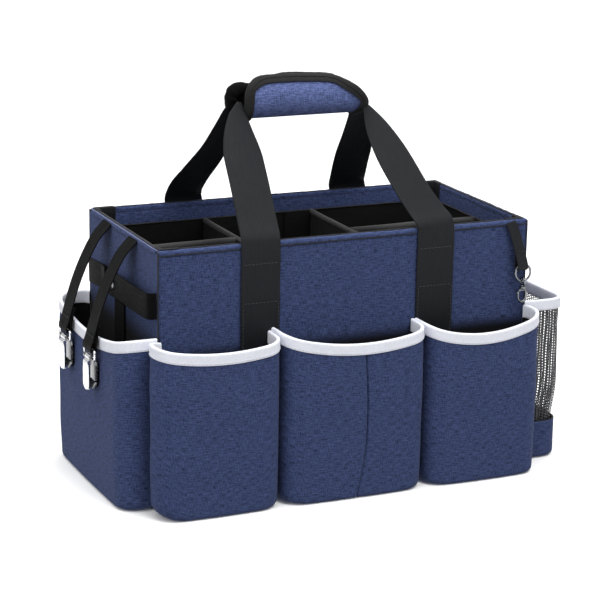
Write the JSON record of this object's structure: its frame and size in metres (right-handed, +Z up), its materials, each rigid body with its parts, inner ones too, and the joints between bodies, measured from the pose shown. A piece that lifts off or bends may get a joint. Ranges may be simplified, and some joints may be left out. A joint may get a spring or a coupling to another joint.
{
  "type": "cleaning caddy",
  "caption": "Open fabric caddy with a stiffened box, adjustable dividers, outside pockets, a wrapped webbing carry handle, clip straps and a snap hook.",
  "frame": {"origin": "centre of the base's underside", "axes": "+X right along the front with the mesh pocket at the +X end, -Y front with the three pockets, +Z up"},
  "size_m": [0.4641, 0.2285, 0.3744],
  "materials": {
    "navy_fabric": "heathered woven polyester, matt",
    "white_binding": "woven binding tape, matt",
    "black_webbing": "ribbed polypropylene webbing, low sheen",
    "black_lining": "coated lining, low sheen",
    "black_mesh": "open knitted mesh, matt",
    "grip_pad": "padded heathered polyester with black binding, matt",
    "stiffener_board": "plain board, hidden",
    "chrome": "polished plated steel",
    "gunmetal": "dark plated, polished"
  },
  "bodies": {
    "caddy": {"base_cover": "navy_fabric", "base_board": "stiffener_board", "floor_lining": "black_lining", "front_cover": "navy_fabric", "front_board": "stiffener_board", "front_lining": "black_lining", "back_cover": "navy_fabric", "back_board": "stiffener_board", "back_lining": "black_lining", "left_cover": "navy_fabric", "left_board": "stiffener_board", "left_lining": "black_lining", "right_cover": "navy_fabric", "right_board": "stiffener_board", "right_lining": "black_lining", "corner_strip_front_left": "black_webbing", "corner_strip_front_right": "black_webbing", "corner_strip_back_left": "black_webbing", "corner_strip_back_right": "black_webbing", "front_pocket_left": "navy_fabric", "front_pocket_left_binding": "white_binding", "front_pocket_center": "navy_fabric", "front_pocket_center_binding": "white_binding", "front_pocket_right": "navy_fabric", "front_pocket_right_binding": "white_binding", "end_pocket": "navy_fabric", "end_pocket_binding": "white_binding", "mesh_pocket": "black_mesh", "mesh_pocket_band": "navy_fabric", "mesh_pocket_binding": "white_binding", "front_webbing_tail_left": "black_webbing", "front_webbing_tail_right": "black_webbing", "rear_webbing_tail_left": "black_webbing", "rear_webbing_tail_right": "black_webbing", "tool_band_front": "black_webbing", "tool_band_rear": "black_webbing", "tool_band_strip": "black_webbing", "tool_band_snap": "gunmetal"},
    "front_handle": {"front_handle_webbing": "black_webbing", "front_grip_pad": "grip_pad"},
    "rear_handle": {"rear_handle_webbing": "black_webbing", "rear_grip_pad": "grip_pad"},
    "clip_strap_front": {"clip_strap_front": "black_webbing"},
    "clip_wire_front": {"clip_wire_loop_front": "chrome"},
    "clip_jaw_front": {"clip_jaw_front": "chrome"},
    "clip_lever_front": {"clip_lever_front": "chrome"},
    "clip_strap_rear": {"clip_strap_rear": "black_webbing"},
    "clip_wire_rear": {"clip_wire_loop_rear": "chrome"},
    "clip_jaw_rear": {"clip_jaw_rear": "chrome"},
    "clip_lever_rear": {"clip_lever_rear": "chrome"},
    "hook_strap": {"hook_strap": "black_webbing"},
    "hook_ring": {"hook_ring": "gunmetal"},
    "snap_hook_swivel": {"snap_hook_swivel": "gunmetal"},
    "snap_hook": {"snap_hook": "gunmetal"},
    "snap_hook_gate": {"snap_hook_gate": "gunmetal"},
    "cross_divider_left": {"cross_divider_left": "black_lining"},
    "cross_divider_right": {"cross_divider_right": "black_lining"},
    "long_divider_left": {"long_divider_left": "black_lining"},
    "long_divider_right": {"long_divider_right": "black_lining"}
  },
  "joints": [
    {"name": "front_handle_swing", "type": "hinge", "parent": "caddy", "child": "front_handle", "pos_m": [0, -0.0952, 0.2394], "axis": [1, 0, 0], "range_deg": [0, 165]},
    {"name": "rear_handle_swing", "type": "hinge", "parent": "caddy", "child": "rear_handle", "pos_m": [0, 0.0952, 0.2394], "axis": [-1, 0, 0], "range_deg": [0, 165]},
    {"name": "clip_strap_front_swing", "type": "hinge", "parent": "caddy", "child": "clip_strap_front", "pos_m": [-0.1869, -0.03, 0.2376], "axis": [0, 1, 0], "range_deg": [0, 150]},
    {"name": "clip_wire_front_swing", "type": "hinge", "parent": "clip_strap_front", "child": "clip_wire_front", "pos_m": [-0.227, -0.03, 0.14], "axis": [0, 1, 0], "range_deg": [0, 60]},
    {"name": "clip_jaw_front_swing", "type": "hinge", "parent": "clip_wire_front", "child": "clip_jaw_front", "pos_m": [-0.227, -0.03, 0.1315], "axis": [0, 1, 0], "range_deg": [0, 15]},
    {"name": "clip_lever_front_open", "type": "hinge", "parent": "clip_jaw_front", "child": "clip_lever_front", "pos_m": [-0.227, -0.03, 0.1315], "axis": [0, 1, 0], "range_deg": [0, 75]},
    {"name": "clip_strap_rear_swing", "type": "hinge", "parent": "caddy", "child": "clip_strap_rear", "pos_m": [-0.1869, 0.04, 0.2376], "axis": [0, 1, 0], "range_deg": [0, 150]},
    {"name": "clip_wire_rear_swing", "type": "hinge", "parent": "clip_strap_rear", "child": "clip_wire_rear", "pos_m": [-0.227, 0.04, 0.14], "axis": [0, 1, 0], "range_deg": [0, 60]},
    {"name": "clip_jaw_rear_swing", "type": "hinge", "parent": "clip_wire_rear", "child": "clip_jaw_rear", "pos_m": [-0.227, 0.04, 0.1315], "axis": [0, 1, 0], "range_deg": [0, 15]},
    {"name": "clip_lever_rear_open", "type": "hinge", "parent": "clip_jaw_rear", "child": "clip_lever_rear", "pos_m": [-0.227, 0.04, 0.1315], "axis": [0, 1, 0], "range_deg": [0, 75]},
    {"name": "hook_strap_swing", "type": "hinge", "parent": "caddy", "child": "hook_strap", "pos_m": [0.167, -0.0946, 0.2384], "axis": [-1, 0, 0], "range_deg": [0, 120]},
    {"name": "hook_ring_swing", "type": "hinge", "parent": "hook_strap", "child": "hook_ring", "pos_m": [0.178, -0.1, 0.1966], "axis": [-1, 0, 0], "range_deg": [0, 90]},
    {"name": "snap_hook_swing", "type": "hinge", "parent": "hook_ring", "child": "snap_hook_swivel", "pos_m": [0.178, -0.1, 0.182], "axis": [-1, 0, 0], "range_deg": [0, 60]},
    {"name": "snap_hook_spin", "type": "hinge", "parent": "snap_hook_swivel", "child": "snap_hook", "pos_m": [0.178, -0.1, 0.1753], "axis": [0, 0, 1], "continuous": true},
    {"name": "snap_hook_gate_press", "type": "hinge", "parent": "snap_hook", "child": "snap_hook_gate", "pos_m": [0.1738, -0.1, 0.1658], "axis": [0, 1, 0], "range_deg": [0, 24], "stiffness_Nm_per_rad": 0.01},
    {"name": "cross_divider_left_reset", "type": "slide", "parent": "caddy", "child": "cross_divider_left", "axis": [1, 0, 0], "range_m": [0, 0.026]},
    {"name": "cross_divider_right_reset", "type": "slide", "parent": "caddy", "child": "cross_divider_right", "axis": [-1, 0, 0], "range_m": [0, 0.026]},
    {"name": "long_divider_left_reset", "type": "slide", "parent": "caddy", "child": "long_divider_left", "axis": [0, 1, 0], "range_m": [-0.05, 0.06]},
    {"name": "long_divider_right_reset", "type": "slide", "parent": "caddy", "child": "long_divider_right", "axis": [0, 1, 0], "range_m": [-0.05, 0.06]}
  ]
}
